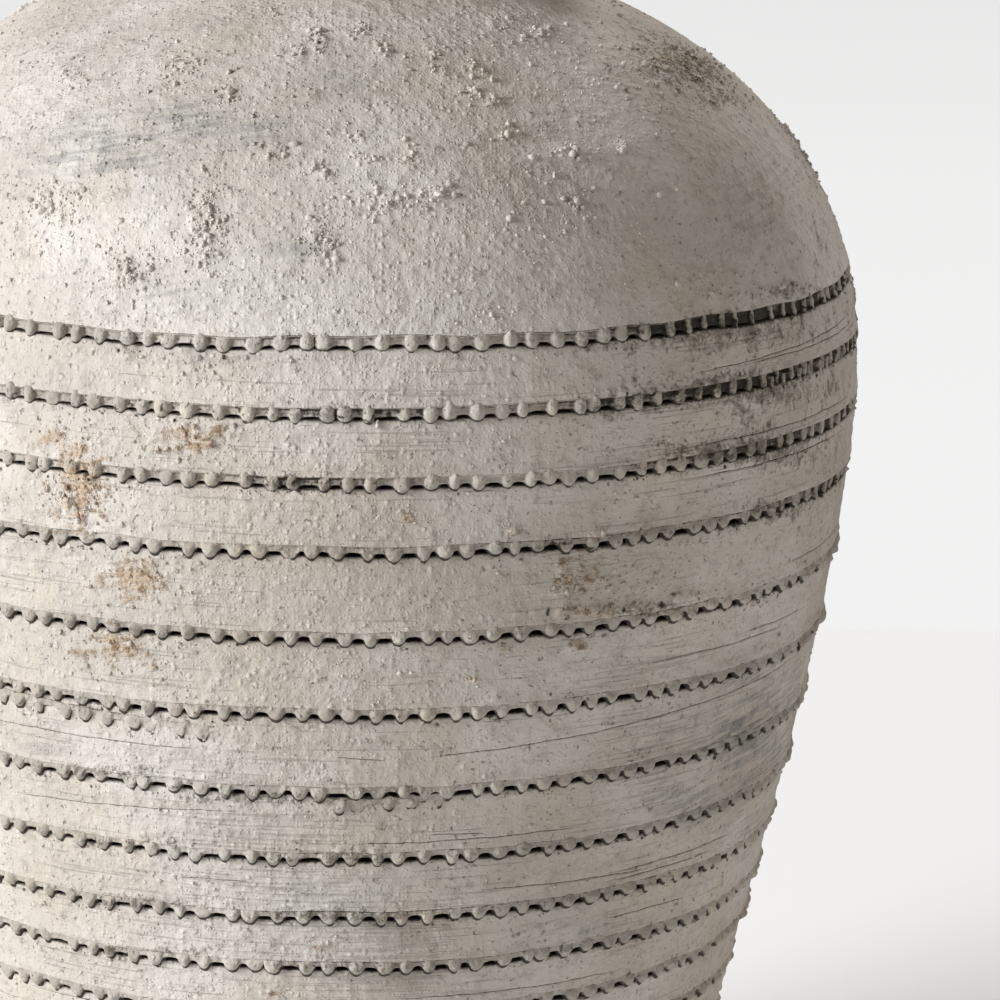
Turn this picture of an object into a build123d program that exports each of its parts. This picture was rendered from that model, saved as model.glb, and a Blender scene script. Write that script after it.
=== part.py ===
from build123d import *
import math
import os

# A tall coil-built storage jar. The floor is Z = 0, the axis of the jar is the Z axis,
# and every size is in millimetres.

# Outline of the jar
belly_radius = 200.0  # outside, at the widest ring
foot_radius = 119.0  # outside, at the floor
neck_radius = 82.0  # outside, where the neck leaves the shoulder
foot_fullness = 1.45  # power of the curve from the belly down to the foot
shoulder_fullness = 2.5  # power of the curve from the belly up to the neck
foot_edge = 3.0  # radius of the worn edge round the foot
course_lip = 0.8  # each course stands this far out over the band under it

# Heights of the courses, stacked upwards from the floor
base_thickness = 16.0
foot_course_height = 76.0
courses_below_belly = [19.0, 19.0, 19.0, 19.0, 20.5, 23.7, 25.7, 29.8, 29.0, 31.5, 24.8]
courses_above_belly = [24.1, 22.9]
shoulder_courses = [35.0, 37.0, 35.0]
neck_height = 34.0
rim_height = 20.0

# Walls
wall = 12.0
neck_wall = 17.0
neck_waist = 4.0  # how far the neck draws in at its middle
rim_overhang = 15.0  # how far the rim stands out past the top of the neck
rim_round = 7.0  # radius of the rolled outer edges of the rim
mouth_round = 4.0  # radius of the inner edge of the rim

# Lapped joints: the inner half of a course rises behind the outer half of the next one
lap = 6.0
slip = 0.3  # radial room for the clay between the lapped walls

# Bead bands: a strip of clay knobs pressed into the groove over each joint
groove_height = 5.0
groove_depth = 2.0  # from the courses' surface to the floor between the beads
bead_pitch = 9.1
bead_width = 4.6
bead_crest = 1.0  # how far a bead stands out of the courses' surface
band_room = 0.15  # room for slip above and below a band in its groove

foot_top = base_thickness + foot_course_height
belly_height = foot_top + sum(courses_below_belly)
band_top = belly_height + sum(courses_above_belly)
neck_root = band_top + sum(shoulder_courses)
neck_top = neck_root + neck_height
mouth_radius = neck_radius - neck_wall
throat_height = neck_root - wall  # where the inside of the shoulder reaches the bore


def shoulder_curve(height, widest, narrowest, rise):
    """Radius on a shoulder that closes from widest to narrowest over its rise."""
    share = (height / rise) ** shoulder_fullness
    return math.sqrt(widest**2 - (widest**2 - narrowest**2) * share)


def foot_curve(z):
    """How far the wall has drawn in from the belly at height z, below the belly."""
    share = ((belly_height - z) / belly_height) ** foot_fullness
    return (belly_radius - foot_radius) * share


def outer(z):
    """Outside radius of the jar below the neck."""
    if z <= belly_height:
        return belly_radius - foot_curve(z)
    rise = neck_root - belly_height
    return shoulder_curve(z - belly_height, belly_radius, neck_radius, rise)


def inner(z):
    """Inside radius of the jar."""
    if z <= belly_height:
        return belly_radius - wall - foot_curve(z)
    if z >= throat_height:
        return mouth_radius
    rise = throat_height - belly_height
    return shoulder_curve(z - belly_height, belly_radius - wall, mouth_radius, rise)


def seam(z):
    """Radius of the lapped joint at height z, in the middle of the wall."""
    return (outer(min(z, neck_root)) + inner(z)) / 2


def at(radius, z):
    return Vector(radius, 0, z)


def wall_arc(start, end, curve):
    """An arc from start to end whose middle lies on the curve."""
    middle_z = (start.Z + end.Z) / 2
    return ThreePointArc(start, at(curve(middle_z), middle_z), end)


def inside_edges(low, high):
    """The inside of the wall from height low to height high."""
    if low >= throat_height:
        return [Line(at(mouth_radius, low), at(mouth_radius, high))]
    if high <= throat_height:
        return [wall_arc(at(inner(low), low), at(inner(high), high), inner)]
    throat = at(mouth_radius, throat_height)
    return [wall_arc(at(inner(low), low), throat, inner), Line(throat, at(mouth_radius, high))]


def turned(outline):
    """A solid turned about the jar's axis from the lines of a closed outline."""
    edges = [edge for line in outline for edge in line.edges()]
    return revolve(make_face(edges), Axis.Z)


def lapped_bottom(z, groove, outside):
    """The underside of a course: a seat on the tongue below it, and a skirt outside that."""
    inside = seam(z) + slip
    return Polyline(
        at(inner(z + lap), z + lap),
        at(inside, z + lap),
        at(inside, z + groove / 2),
        at(outside, z + groove / 2),
    )


def lapped_top(z, groove, outside):
    """The top of a course: a ledge outside, and a tongue that rises behind the next course."""
    return Polyline(
        at(outside, z - groove / 2),
        at(seam(z), z - groove / 2),
        at(seam(z), z + lap),
        at(inner(z + lap), z + lap),
    )


def course(low, high, low_groove, high_groove):
    """One ring of wall between the joints at heights low and high."""
    lip = course_lip if low_groove else 0.0
    bottom_radius = outer(low + low_groove / 2) + lip
    top_radius = outer(high - high_groove / 2)
    bottom = lapped_bottom(low, low_groove, bottom_radius)
    top = lapped_top(high, high_groove, top_radius)
    middle = (bottom @ 1 + top @ 0).Z / 2
    face_out = ThreePointArc(bottom @ 1, at(outer(middle) + lip / 2, middle), top @ 0)
    return turned([bottom, face_out, top, *inside_edges(low + lap, high + lap)])


def base_slab():
    """The disc of clay that the jar is built up on, stepped at its edge for the foot course."""
    floor = Line(at(0, 0), at(foot_radius, 0))
    side = wall_arc(floor @ 1, at(outer(base_thickness), base_thickness), outer)
    step = at(seam(base_thickness), base_thickness)
    inside_floor = base_thickness + lap
    top = Polyline(side @ 1, step, at(step.X, inside_floor), at(0, inside_floor), floor @ 0)
    slab = turned([floor, side, top])
    return fillet(slab.edges().group_by(Axis.Z)[0], min(foot_edge, base_thickness / 2))


def neck():
    """The collar on the shoulder, drawn in a little at its middle."""
    bottom = lapped_bottom(neck_root, 0.0, neck_radius)
    top = lapped_top(neck_top, 0.0, neck_radius)
    waist = at(neck_radius - neck_waist, (neck_root + neck_top) / 2)
    face_out = ThreePointArc(bottom @ 1, waist, top @ 0)
    return turned([bottom, face_out, top, *inside_edges(neck_root + lap, neck_top + lap)])


def rim():
    """The rolled ring round the mouth, seated on the neck."""
    rim_top = neck_top + rim_height
    rim_radius = neck_radius + rim_overhang
    bottom = lapped_bottom(neck_top, 0.0, rim_radius)
    rest = Polyline(bottom @ 1, at(rim_radius, rim_top), at(mouth_radius, rim_top), bottom @ 0)
    ring = turned([bottom, rest])
    flat_left = 0.1  # least share of a side that stays flat between its two rounds
    round_limit = (1 - flat_left) / 2 * min(rim_height, rim_overhang + neck_wall)
    rings = ring.edges().filter_by(GeomType.CIRCLE)
    outside = [edge for edge in rings if math.isclose(edge.radius, rim_radius)]
    ring = fillet(outside, min(rim_round, round_limit))
    mouth = [
        edge
        for edge in ring.edges().group_by(Axis.Z)[-1].filter_by(GeomType.CIRCLE)
        if math.isclose(edge.radius, mouth_radius)
    ]
    return fillet(mouth, min(mouth_round, round_limit))


def bead_band(z):
    """A ring of clay in the groove at height z, with beads standing across the groove."""
    surface = outer(z)
    floor_radius = surface - groove_depth
    crest_radius = surface + bead_crest
    count = round(2 * math.pi * surface / bead_pitch)
    step = 2 * math.pi / count
    half_bead = math.asin(bead_width / 2 / floor_radius)

    def on_ring(radius, angle):
        return Vector(radius * math.cos(angle), radius * math.sin(angle), 0)

    edges = []
    for bead in range(count):
        middle = bead * step
        start = on_ring(floor_radius, middle - half_bead)
        end = on_ring(floor_radius, middle + half_bead)
        next_start = on_ring(floor_radius, middle + step - half_bead)
        edges.append(ThreePointArc(start, on_ring(crest_radius, middle), end))
        edges.append(ThreePointArc(end, on_ring(floor_radius, middle + step / 2), next_start))
    hole = Wire(Edge.make_circle(seam(z) + slip))
    height = groove_height - 2 * band_room
    ring = extrude(Face(Wire(edges), [hole]), height)
    return Pos(0, 0, z - height / 2) * ring


os.makedirs("parts", exist_ok=True)


def save(shape, node):
    shape.label = node
    export_step(shape, f"parts/{node}.step")


save(base_slab(), "base_slab")

# The joints from the foot course up: their heights, and the groove that each one has
joints = [foot_top]
for height in courses_below_belly + courses_above_belly:
    joints.append(joints[-1] + height)
save(course(base_thickness, foot_top, 0.0, groove_height), "foot_course")
for number, (low, high) in enumerate(zip(joints, joints[1:]), start=1):
    save(course(low, high, groove_height, groove_height), f"body_course_{number:02d}")
for number, z in enumerate(joints, start=1):
    save(bead_band(z), f"bead_band_{number:02d}")

shoulder_low = band_top
shoulder_groove = groove_height
for name, height in zip(("lower", "middle", "upper"), shoulder_courses):
    shoulder_high = shoulder_low + height
    save(course(shoulder_low, shoulder_high, shoulder_groove, 0.0), f"{name}_shoulder")
    shoulder_low = shoulder_high
    shoulder_groove = 0.0

save(neck(), "neck")
save(rim(), "rim")
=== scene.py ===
import itertools
import math

import bmesh
import bpy
import numpy as np
from mathutils import Matrix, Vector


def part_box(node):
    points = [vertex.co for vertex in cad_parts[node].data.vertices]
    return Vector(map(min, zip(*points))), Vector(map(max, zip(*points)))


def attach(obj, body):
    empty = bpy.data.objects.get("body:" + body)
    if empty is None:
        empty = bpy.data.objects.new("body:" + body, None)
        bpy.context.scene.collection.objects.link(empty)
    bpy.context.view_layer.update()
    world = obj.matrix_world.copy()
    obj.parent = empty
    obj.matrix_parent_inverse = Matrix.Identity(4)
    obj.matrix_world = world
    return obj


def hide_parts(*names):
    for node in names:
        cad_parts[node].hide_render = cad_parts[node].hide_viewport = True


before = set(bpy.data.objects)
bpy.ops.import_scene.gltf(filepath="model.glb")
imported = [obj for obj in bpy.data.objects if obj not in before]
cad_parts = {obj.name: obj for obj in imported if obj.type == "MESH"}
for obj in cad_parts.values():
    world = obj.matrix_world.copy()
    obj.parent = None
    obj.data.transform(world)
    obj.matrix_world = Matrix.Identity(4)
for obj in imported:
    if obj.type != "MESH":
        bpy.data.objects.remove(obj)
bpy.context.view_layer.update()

# Base slab: the disc of clay that the jar is raised on, stepped at its edge for the first course.
# It is limewashed with the rest of the outside, so the wall's outline, the hand's unevenness and
# the worn lime begin here and carry on up the jar. Sizes are in millimetres.
mm = 0.001
belly_radius = 200.0
foot_radius = 119.0
neck_radius = 82.0
mouth_radius = 65.0
wall = 12.0
foot_fullness = 1.45
shoulder_fullness = 2.5
slip = 0.3
columns = 1280  # points round the jar
turn = np.arange(columns) * (2 * math.pi / columns)


def round_jar(out, angle, up):
    """Points or directions at an angle round the jar, from how far out and how far up they go."""
    return np.stack((out * np.cos(angle), out * np.sin(angle), up), axis=-1)


def node_heights(node):
    """Lowest and highest point of a solid."""
    low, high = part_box(node)
    return low[2] / mm, high[2] / mm


band_count = 14
band_nodes = [f"bead_band_{number:02d}" for number in range(1, band_count + 1)]
joints = [sum(node_heights(node)) / 2 for node in band_nodes]
belly_height = joints[11]  # the wall is widest at the twelfth joint
base_thickness = node_heights("foot_course")[0]
inside_floor = node_heights("base_slab")[1]
lap = inside_floor - base_thickness
neck_root = node_heights("neck")[0]
neck_top, rim_top = node_heights("rim")


def dome(z, widest, narrowest, top):
    """Radius of a wall that swells to the belly and closes to narrowest at height top."""
    below = np.clip((belly_height - z) / belly_height, 0, 1) ** foot_fullness
    above = np.clip((z - belly_height) / (top - belly_height), 0, 1) ** shoulder_fullness
    closing = np.sqrt(widest**2 - (widest**2 - narrowest**2) * above)
    return closing - (belly_radius - foot_radius) * below


def outer_radius(z):
    return dome(z, belly_radius, neck_radius, neck_root)


def inner_radius(z):
    return dome(z, belly_radius - wall, mouth_radius, neck_root - wall)


def seam_radius(z):
    """Where the lapped joint at height z divides the wall."""
    return (outer_radius(z) + inner_radius(z)) / 2


def clay_noise(points, size, seed):
    """Smooth random heights from -1 to 1, in lumps of about the given size."""
    side = 48
    lattice = np.random.default_rng(seed).uniform(-1, 1, (side, side, side))
    cell = points / size
    base = np.floor(cell).astype(int)
    part = cell - base
    part = part * part * (3 - 2 * part)
    total = 0
    for corner in itertools.product((0, 1), repeat=3):
        at = (base + corner) % side
        share = np.where(np.array(corner, bool), part, 1 - part).prod(axis=-1)
        total = total + share * lattice[at[..., 0], at[..., 1], at[..., 2]]
    return total


def years(points):
    """What the years leave on the outside, each from 0 to 1."""
    patches = clay_noise(points, 46, 21) * 0.7 + clay_noise(points, 17, 22) * 0.5
    smears = clay_noise(points * (1, 1, 2.5), 90, 23) * 0.8 + clay_noise(points * (1, 1, 2), 30, 24) * 0.4
    muck = clay_noise(points * (1, 1, 3), 70, 25) * 0.9 + clay_noise(points, 14, 26) * 0.4
    lumps = clay_noise(points, 30, 27) * 0.8 + clay_noise(points, 11, 28) * 0.5
    return {
        "rust": np.clip(patches * 2.2 - 1.0, 0, 1),
        "soot": np.clip(smears * 1.8 - 0.4, 0, 1),
        "grime": np.clip(muck * 1.6 - 0.3, 0, 1),
        "crust": np.clip(lumps * 2.0 - 0.9, 0, 1),
    }


def hand_relief(points):
    """The unevenness that the potter's hands leave in a wall."""
    return 0.55 * clay_noise(points, 95, 31) + 0.22 * clay_noise(points, 30, 32)


def grit_relief(points, marks):
    """Grit under the lime, and the crust on it."""
    share = np.clip(0.35 + 0.4 * clay_noise(points, 40, 33) + 0.9 * marks["crust"], 0.1, 1.2)
    grains = np.clip(clay_noise(points, 2.6, 34) - 0.2, 0, 1) * 0.9
    fine = clay_noise(points, 1.7, 35) * 0.1
    crumbs = np.clip(clay_noise(points, 4.2, 36) + 0.5 * clay_noise(points, 2.2, 37), -0.2, 1.2)
    rough = marks["crust"] * (0.3 + 1.2 * crumbs) + 0.35 * marks["rust"] * crumbs
    return share * grains + fine + rough


def weathered(radius, height, proud=0.0, stains=years):
    """Rows of the worn outside, standing proud of the given radii and heights, and their marks."""
    radius, height, angle = np.broadcast_arrays(radius, height, turn)
    points = round_jar(radius, angle, height)
    marks = stains(points)
    relief = hand_relief(points) + grit_relief(points, marks) + proud
    outward = np.gradient(height, axis=0)
    upward = -np.gradient(radius, axis=0)
    length = np.hypot(outward, upward) + 1e-9
    outward = outward / length
    upward = upward / length
    normal = round_jar(outward, angle, upward)
    specks = np.clip(clay_noise(points, 2.8, 41) - 0.58, 0, 1) * 0.6
    hollows = np.clip(clay_noise(points, 1.8, 42) - 0.1, 0, 1) * marks["crust"]
    marks["soil_and_shade"] = np.clip(specks + 1.2 * hollows, 0, 1)
    return points + normal * relief[..., None], marks


def plain_rows(section, soil_and_shade):
    """Rows of a hidden or inner part of a piece, from its radii and heights."""
    radius = np.stack([np.broadcast_to(row[0], columns) for row in section])
    height = np.stack([np.broadcast_to(row[1], columns) for row in section])
    points = round_jar(radius, turn, height)
    marks = {name: np.zeros(radius.shape) for name in ("rust", "soot", "grime", "crust")}
    marks["soil_and_shade"] = np.full(radius.shape, soil_and_shade)
    return points, marks


def stacked(*parts):
    """Rows of points and their marks joined into one section."""
    points = np.concatenate([part[0] for part in parts])
    marks = {name: np.concatenate([part[1][name] for part in parts]) for name in parts[0][1]}
    return points, marks


def ring_faces(rows, around, closed):
    """Quads over rows of points round the jar, joined last to first where the section is closed."""
    low, left = np.meshgrid(np.arange(rows if closed else rows - 1), np.arange(around), indexing="ij")
    high = (low + 1) % rows
    right = (left + 1) % around
    corners = (low * around + left, low * around + right, high * around + right, high * around + left)
    return np.stack(corners, axis=-1).reshape(-1, 4)


class Wash:
    """One output of a material's nodes. Arithmetic on it adds Math nodes."""

    def __init__(self, tree, socket=None):
        self.tree = tree
        self.socket = socket

    def node(self, kind, settings, sockets, output=0):
        made = self.tree.nodes.new(kind)
        for name, value in settings.items():
            setattr(made, name, value)
        for name, value in sockets.items():
            if isinstance(value, Wash):
                self.tree.links.new(value.socket, made.inputs[name])
            else:
                made.inputs[name].default_value = value
        return Wash(self.tree, made.outputs[output])

    def math(self, operation, *values):
        return self.node("ShaderNodeMath", {"operation": operation}, dict(enumerate(values)))

    def __add__(self, other):
        return self.math("ADD", self, other)

    __radd__ = __add__

    def __mul__(self, other):
        return self.math("MULTIPLY", self, other)

    __rmul__ = __mul__

    def __sub__(self, other):
        return self.math("SUBTRACT", self, other)

    def __rsub__(self, other):
        return self.math("SUBTRACT", other, self)

    def ramp(self, low, high):
        """0 below low, 1 above high, smooth between."""
        sockets = {"Value": self, "From Min": low, "From Max": high}
        return self.node("ShaderNodeMapRange", {"interpolation_type": "SMOOTHSTEP"}, sockets)

    def mix(self, first, second):
        """From the first colour to the second as this goes from 0 to 1."""
        return self.node("ShaderNodeMix", {"data_type": "RGBA"}, {0: self, 6: first, 7: second}, 2)


def colour(red, green, blue):
    """A colour as the eye reads it, from 0 to 255, as the shader's light."""
    parts = []
    for part in (red, green, blue):
        share = part / 255
        parts.append(share / 12.92 if share <= 0.04045 else ((share + 0.055) / 1.055) ** 2.4)
    return (*parts, 1.0)


brush_tilt = 0.2  # slope of the brush strokes, in radians


def limewash(name, pale, dull, wiping):
    """Lime brushed thin over gritty clay, worn, stained and dusty, and darkened with painted shade
    where its marks carry it. wiping is how strongly the level scratches of the potter's wiping show,
    from 0 to 1."""
    material = bpy.data.materials.new(name)
    material.use_nodes = True
    tree = material.node_tree
    shader = tree.nodes["Principled BSDF"]
    place = Wash(tree).node("ShaderNodeTexCoord", {}, {}, "Object")
    turned = {"Vector": place, "Angle": brush_tilt}
    tilt = place.node("ShaderNodeVectorRotate", {"rotation_type": "Y_AXIS"}, turned)

    def cloud(scale, detail, flat=1.0, start=place):
        """Noise with scale lumps to the metre, flattened into level streaks."""
        level = place.node("ShaderNodeVectorMath", {"operation": "MULTIPLY"}, {0: start, 1: (1, 1, flat)})
        sockets = {"Vector": level, "Scale": scale, "Detail": detail, "Roughness": 0.6}
        return place.node("ShaderNodeTexNoise", {}, sockets, "Fac")

    def mark(attribute):
        return place.node("ShaderNodeAttribute", {"attribute_name": attribute}, {}, "Fac")

    blotch = cloud(13, 6)
    cream = cloud(24, 4)
    wiped = cloud(7, 5, 12)
    hairline = cloud(24, 3, 44) * 0.6 + cloud(9, 3) * 0.4
    brushed = cloud(48, 6, 12, tilt)
    patch = cloud(150, 5)
    sand = cloud(620, 3)
    pit = cloud(430, 2)
    speck = cloud(330, 4)

    def grains(scale, share):
        """Round grains in cells of the given number to the metre, in a share of the cells."""
        sockets = {"Vector": place, "Scale": scale}
        cell = place.node("ShaderNodeTexVoronoi", {}, sockets, "Distance")
        dice = place.node("ShaderNodeTexVoronoi", {}, sockets, "Color")
        chance = place.node("ShaderNodeSeparateColor", {}, {"Color": dice}, "Red")
        return (1 - cell.ramp(0.1, 0.5)) * (chance + (patch - 0.5) * 0.9).ramp(1 - share, 1.06 - share)

    coarse_grain = grains(380, 0.3)
    fine_grain = grains(760, 0.4)

    soot = mark("soot") * (0.2 + brushed.ramp(0.42, 0.6) * 0.8) * (0.6 + patch.ramp(0.4, 0.6) * 0.4)
    rust = mark("rust") + (patch - 0.5) * 1.8 + (brushed - 0.5) * 1.2 + (speck - 0.5) * 0.8
    rust = rust.ramp(0.4, 1.05)
    grime = (mark("grime") + (patch - 0.5) * 2.0 + (sand - 0.5) * 1.8).ramp(0.5, 1.15)
    soil_and_shade = (mark("soil_and_shade") + (sand - 0.5) * 0.8).ramp(0.2, 0.8)

    # Thin and worn lime first, then its grains, and over them what stains it and the painted shade
    lime = blotch.ramp(0.36, 0.64).mix(pale, dull)
    for share, tint in (
        (cream.ramp(0.5, 0.7) * 0.35, colour(206, 192, 170)),
        (wiped.ramp(0.5, 0.7) * wiping * 0.5, colour(182, 172, 157)),
        (hairline.ramp(0.54, 0.62) * wiping * 0.42, colour(128, 121, 111)),
        (patch.ramp(0.52, 0.7) * 0.34, colour(152, 144, 133)),
        (speck.ramp(0.56, 0.7) * 0.34, colour(132, 124, 113)),
        (sand.ramp(0.6, 0.72) * 0.1, colour(112, 105, 95)),
        ((coarse_grain + fine_grain) * 0.22, colour(230, 225, 218)),
        (soot * 0.85, colour(116, 118, 121)),
        (rust * 0.6, colour(186, 155, 119)),
        (rust * speck.ramp(0.5, 0.62) * 0.7, colour(112, 88, 64)),
        (grime * 0.58, colour(102, 91, 74)),
        (grime * speck.ramp(0.5, 0.6) * 0.5, colour(64, 56, 46)),
        (pit.ramp(0.7, 0.75) * 0.6, colour(88, 79, 68)),
        # Darkest tint: soil, and painted shade in the cracks, under the lips and beads and at the feet of
        # lumps
        (soil_and_shade * 0.92, colour(56, 51, 44)),
    ):
        lime = share.mix(lime, tint)

    height = patch * 0.6 + coarse_grain * 0.16 + fine_grain * 0.08 + speck * 0.06
    height = height + grime * speck * 0.3 + rust * speck * 0.3
    height = height - hairline.ramp(0.54, 0.62) * (wiping * 0.12) - pit.ramp(0.66, 0.73) * 0.3
    relief = place.node("ShaderNodeBump", {}, {"Height": height, "Strength": 0.9, "Distance": 0.0027})
    tree.links.new(lime.socket, shader.inputs["Base Color"])
    tree.links.new((0.82 + 0.16 * patch).socket, shader.inputs["Roughness"])
    tree.links.new(relief.socket, shader.inputs["Normal"])
    shader.inputs["Specular IOR Level"].default_value = 0.2
    return material


wall_lime = limewash("wiped_limewash", colour(215, 207, 199), colour(197, 188, 177), wiping=0.7)
crease = math.radians(64)  # edges sharper than this aren't shaded smooth


def put_in_scene(name, data):
    thing = bpy.data.objects.new(name, data)
    bpy.context.scene.collection.objects.link(thing)
    return thing


def place_piece(name, node, material, points, faces, marks):
    """A piece of the jar in place of its solid, with its marks kept on its points."""
    mesh = bpy.data.meshes.new(name)
    mesh.from_pydata((points.reshape(-1, 3) * mm).tolist(), [], faces)
    for mark, depth in marks.items():
        layer = mesh.attributes.new(mark, "FLOAT", "POINT")
        layer.data.foreach_set("value", np.asarray(depth, np.float32).ravel())
    mesh.shade_smooth()
    mesh.set_sharp_from_angle(angle=crease)
    mesh.materials.append(material)
    piece = put_in_scene(name, mesh)
    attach(piece, "root")
    if node:
        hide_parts(node)


worn_heights = [0.0, 0.4, 1.2, 3.0]
worn_away = [-2.6, -1.4, -0.5, 0.0]
slab_hub = 20.0  # radius of the flat disc in the middle of each side
slab_heights = np.concatenate((worn_heights, np.arange(4.5, base_thickness, 1.5), [base_thickness]))
slab_heights = slab_heights[:, None]
edge_wear = np.interp(slab_heights, worn_heights, worn_away)
slab_side, slab_marks = weathered(outer_radius(slab_heights), slab_heights, edge_wear)
slab_side[..., 2] = np.maximum(slab_side[..., 2], 0.0)
slab_side[0, :, 2] = 0.0
step_radius = seam_radius(base_thickness)
slab_under = plain_rows([(slab_hub, 0.0), (foot_radius - wall, 0.0)], soil_and_shade=0.35)
slab_over = plain_rows(
    [
        (step_radius, base_thickness),
        (step_radius, inside_floor),
        (3 * slab_hub, inside_floor),
        (slab_hub, inside_floor),
    ],
    soil_and_shade=0.4,
)
slab_points, slab_marks = stacked(slab_under, (slab_side, slab_marks), slab_over)
slab_rows = len(slab_points)
slab_faces = ring_faces(slab_rows, columns, closed=False).tolist()
slab_faces.append(list(range(columns))[::-1])
slab_faces.append(list(range((slab_rows - 1) * columns, slab_rows * columns)))
place_piece(
    "worn_base_slab", "base_slab", wall_lime, slab_points, slab_faces, slab_marks
)

# Foot course and body courses: belts of coarse clay, coiled, drawn up and wiped level, each lapped
# over the tongue of the one below. Wiping leaves level scratches, a proud lower lip and a worn top
# edge, and the lime over them is stained with rust, soot and soil where the photograph shows it.
# Under each band and at the foot of each lip the lime is darkened with painted shade.
groove = 5.0
course_lip = 0.8
first_top_band = 11  # from this joint up the strips are mostly sunk between their beads
# How far a course's soft top edge is pushed up into the groove, in each column
top_edge_rise = 0.75 - 0.45 * np.cos(turn)  # under the top bands
edge_rise = 0.9 - 0.5 * np.cos(turn)  # under the others
soil_turns = {10: 5.57, 11: 5.57, 12: 5.36, 13: 5.25}  # where soil begins to fill these bands
soil_reach = 1.25  # how far round the jar it does
soil_fade = 0.3  # and how far it takes to begin and to end
# Where the picture was taken from, and how its frame is turned, in radians
eye = np.array((0.0, -1841.7, joints[-1] + 307.7))
turn_right = 0.0349
turn_down = 0.2155
roll = 0.0188
focal_pixels = 4861.3
picture_middle = 500.0
picture_fade = 60.0  # pixels over which its spots give way to the years at the frame's edges
facing_gain = 4.0  # and how fast they do where the wall turns away
ahead = np.array((math.sin(turn_right), math.cos(turn_right), 0.0))
aside = np.array((math.cos(turn_right), -math.sin(turn_right), 0.0))
upright = np.array((0.0, 0.0, 1.0))
sight = math.cos(turn_down) * ahead - math.sin(turn_down) * upright
lifted = math.sin(turn_down) * ahead + math.cos(turn_down) * upright
sight_right = math.cos(roll) * aside + math.sin(roll) * lifted
sight_up = math.cos(roll) * lifted - math.sin(roll) * aside


def picture_place(points):
    """Where points show in the picture, in its pixels, and how squarely they face it."""
    away = points - eye
    depth = away @ sight
    x = picture_middle + focal_pixels * (away @ sight_right) / depth
    y = picture_middle - focal_pixels * (away @ sight_up) / depth
    across = np.hypot(points[..., 0], points[..., 1]) + 1e-6
    toward = -(points[..., 0] * away[..., 0] + points[..., 1] * away[..., 1]) / across
    facing = np.clip(toward / np.linalg.norm(away, axis=-1) * facing_gain, 0, 1)
    from_left = (x + picture_fade) / picture_fade
    from_bottom = (2 * picture_middle + picture_fade - y) / picture_fade
    in_frame = np.clip(from_left, 0, 1) * np.clip(from_bottom, 0, 1)
    return x, y, facing * in_frame


def spotted(**places):
    """Stains of a part of the wall: spots where the picture has them, and the years elsewhere."""

    def stains(points):
        x, y, seen = picture_place(points)
        marks = years(points)
        for mark, spots in places.items():
            depth = np.zeros(points.shape[:-1])
            for middle_x, middle_y, wide, high, strength in spots:
                across = ((x - middle_x) / wide) ** 2 + ((y - middle_y) / high) ** 2
                depth = np.maximum(depth, strength * np.exp(-across))
            marks[mark] = depth * seen + marks[mark] * (1 - seen)
        return marks

    return stains


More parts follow.
